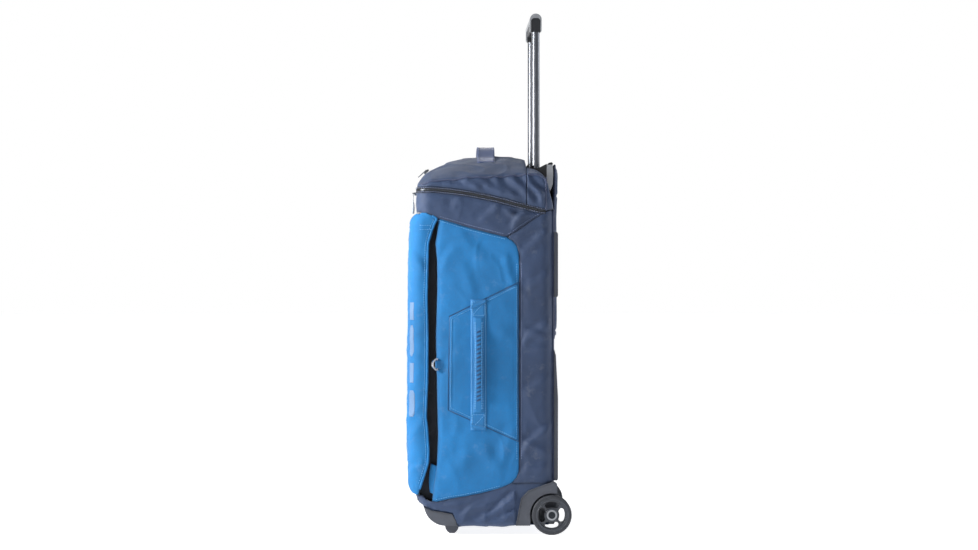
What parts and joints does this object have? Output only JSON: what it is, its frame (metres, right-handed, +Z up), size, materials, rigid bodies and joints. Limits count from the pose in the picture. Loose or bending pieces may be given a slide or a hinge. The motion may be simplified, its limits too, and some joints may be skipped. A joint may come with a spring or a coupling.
{
  "type": "rolling duffel bag",
  "caption": "Tall soft-sided wheeled duffel with a U-shaped front lid, top pocket, pull-out handle, side and top carry handles, skids and rear wheels.",
  "frame": {"origin": "on the floor under the middle of the whole bag", "axes": "+Z up, -Y towards the front lid, +Y towards the pull-out handle and the wheels, +X to the bag's right-hand side wall as seen from the front"},
  "size_m": [0.4072, 0.347, 1.1113],
  "materials": {
    "blue_fabric": "woven polyester, 600 denier, satin sheen",
    "navy_fabric": "woven polyester, 600 denier, satin sheen",
    "lining_fabric": "plain woven lining",
    "blue_webbing": "flat woven webbing",
    "navy_webbing": "flat woven webbing",
    "zip_tape": "zip tape with moulded coil",
    "dark_plastic": "moulded, fine grain",
    "black_plastic": "moulded, satin",
    "silver_plastic": "silver-coated moulding",
    "aluminium": "drawn and anodised",
    "button_plastic": "moulded",
    "steel": "turned, zinc plated",
    "ring_metal": "die-cast, nickel plated",
    "slider_metal": "die-cast, dark lacquer",
    "pull_rubber": "moulded on cord, matt",
    "board": "plain sheet",
    "wheel_tread": "moulded, matt",
    "wheel_core": "moulded, satin"
  },
  "bodies": {
    "bag": {"side_panel_left": "blue_fabric", "side_panel_right": "blue_fabric", "side_patches": "blue_fabric", "rear_shell": "navy_fabric", "base_tub": "navy_fabric", "corner_guards": "dark_plastic", "top_band": "navy_fabric", "rear_cheeks": "navy_fabric", "lid_shoulder": "blue_fabric", "zip_gussets": "lining_fabric", "pocket_divider": "lining_fabric", "base_plate": "board", "frame_board": "board", "channel_liner": "lining_fabric", "back_pad": "navy_fabric", "grip_bay": "black_plastic", "bay_scoop": "silver_plastic", "lower_skids": "dark_plastic", "upper_skids": "dark_plastic", "skid_screws": "steel", "front_feet": "dark_plastic", "wheel_housings": "dark_plastic", "axles": "steel", "outer_tubes": "aluminium", "tube_feet": "black_plastic", "tube_collars": "black_plastic", "side_straps": "blue_webbing", "side_grip_left": "blue_webbing", "side_grip_right": "blue_webbing", "ring_tabs": "blue_webbing", "main_zip_bag_half": "zip_tape", "top_zip": "zip_tape"},
    "main_lid": {"main_lid": "blue_fabric", "main_zip_lid_half": "zip_tape"},
    "top_lid": {"top_lid": "navy_fabric", "top_handle": "navy_webbing"},
    "roof_slider": {"roof_slider": "slider_metal"},
    "wheel_left": {"wheel_tyre_left": "wheel_tread", "wheel_rim_left": "wheel_core", "wheel_bearings_left": "steel"},
    "wheel_right": {"wheel_tyre_right": "wheel_tread", "wheel_rim_right": "wheel_core", "wheel_bearings_right": "steel"},
    "handle": {"inner_tubes": "aluminium", "lock_blocks": "black_plastic", "grip_core": "black_plastic", "grip_cover": "silver_plastic"},
    "button": {"grip_button": "button_plastic", "release_yoke": "black_plastic", "button_spring": "steel"},
    "lock_pin_left": {"lock_pin_left": "steel"},
    "lock_pin_right": {"lock_pin_right": "steel"},
    "d_ring_left": {"d_ring_left": "ring_metal"},
    "d_ring_right": {"d_ring_right": "ring_metal"},
    "main_slider_lower": {"main_slider_lower": "slider_metal"},
    "main_slider_upper": {"main_slider_upper": "slider_metal"},
    "top_slider_left": {"top_slider_left": "slider_metal"},
    "top_slider_right": {"top_slider_right": "slider_metal"},
    "top_pull_left": {"top_pull_left": "pull_rubber"},
    "top_pull_right": {"top_pull_right": "pull_rubber"}
  },
  "joints": [
    {"name": "handle_slide", "type": "slide", "parent": "bag", "child": "handle", "axis": [0, 0, 1], "range_m": [-0.305, 0]},
    {"name": "button_press", "type": "slide", "parent": "handle", "child": "button", "axis": [0, 0, -1], "range_m": [0, 0.004], "stiffness_N_per_m": 800},
    {"name": "lock_pin_left_retract", "type": "slide", "parent": "handle", "child": "lock_pin_left", "axis": [1, 0, 0], "range_m": [0, 0.003]},
    {"name": "lock_pin_right_retract", "type": "slide", "parent": "handle", "child": "lock_pin_right", "axis": [-1, 0, 0], "range_m": [0, 0.003]},
    {"name": "wheel_left_spin", "type": "hinge", "parent": "bag", "child": "wheel_left", "pos_m": [-0.185, 0.132, 0.042], "axis": [1, 0, 0], "continuous": true},
    {"name": "wheel_right_spin", "type": "hinge", "parent": "bag", "child": "wheel_right", "pos_m": [0.185, 0.132, 0.042], "axis": [1, 0, 0], "continuous": true},
    {"name": "main_lid_hinge", "type": "hinge", "parent": "bag", "child": "main_lid", "pos_m": [0, -0.1735, 0.655], "axis": [-1, 0, 0], "range_deg": [0, 150]},
    {"name": "top_lid_hinge", "type": "hinge", "parent": "bag", "child": "top_lid", "pos_m": [0, 0.078, 0.791], "axis": [-1, 0, 0], "range_deg": [0, 65]},
    {"name": "roof_slider_slide", "type": "slide", "parent": "top_lid", "child": "roof_slider", "axis": [-1, 0, 0], "range_m": [0, 0.2]},
    {"name": "d_ring_left_swing", "type": "hinge", "parent": "bag", "child": "d_ring_left", "pos_m": [-0.1934, -0.1105, 0.361], "axis": [0, 0, -1], "range_deg": [-35, 130]},
    {"name": "d_ring_right_swing", "type": "hinge", "parent": "bag", "child": "d_ring_right", "pos_m": [0.1934, -0.1105, 0.361], "axis": [0, 0, 1], "range_deg": [-35, 130]},
    {"name": "main_slider_lower_slide", "type": "slide", "parent": "bag", "child": "main_slider_lower", "axis": [0, 0, -1], "range_m": [0, 0.03]},
    {"name": "main_slider_upper_slide", "type": "slide", "parent": "bag", "child": "main_slider_upper", "axis": [0, 0, 1], "range_m": [0, 0.46]},
    {"name": "top_slider_left_slide", "type": "slide", "parent": "bag", "child": "top_slider_left", "axis": [-1, 0, 0], "range_m": [0, 0.13]},
    {"name": "top_slider_right_slide", "type": "slide", "parent": "bag", "child": "top_slider_right", "axis": [1, 0, 0], "range_m": [0, 0.13]},
    {"name": "top_pull_left_swing", "type": "hinge", "parent": "top_slider_left", "child": "top_pull_left", "pos_m": [-0.009, -0.163, 0.7286], "axis": [-1, 0, 0], "range_deg": [-8, 80]},
    {"name": "top_pull_right_swing", "type": "hinge", "parent": "top_slider_right", "child": "top_pull_right", "pos_m": [0.009, -0.163, 0.7286], "axis": [-1, 0, 0], "range_deg": [-8, 80]}
  ],
  "couplings": [
    {"joint": "lock_pin_left_retract", "follows": "button_press", "ratio": 0.75},
    {"joint": "lock_pin_right_retract", "follows": "button_press", "ratio": 0.75}
  ]
}
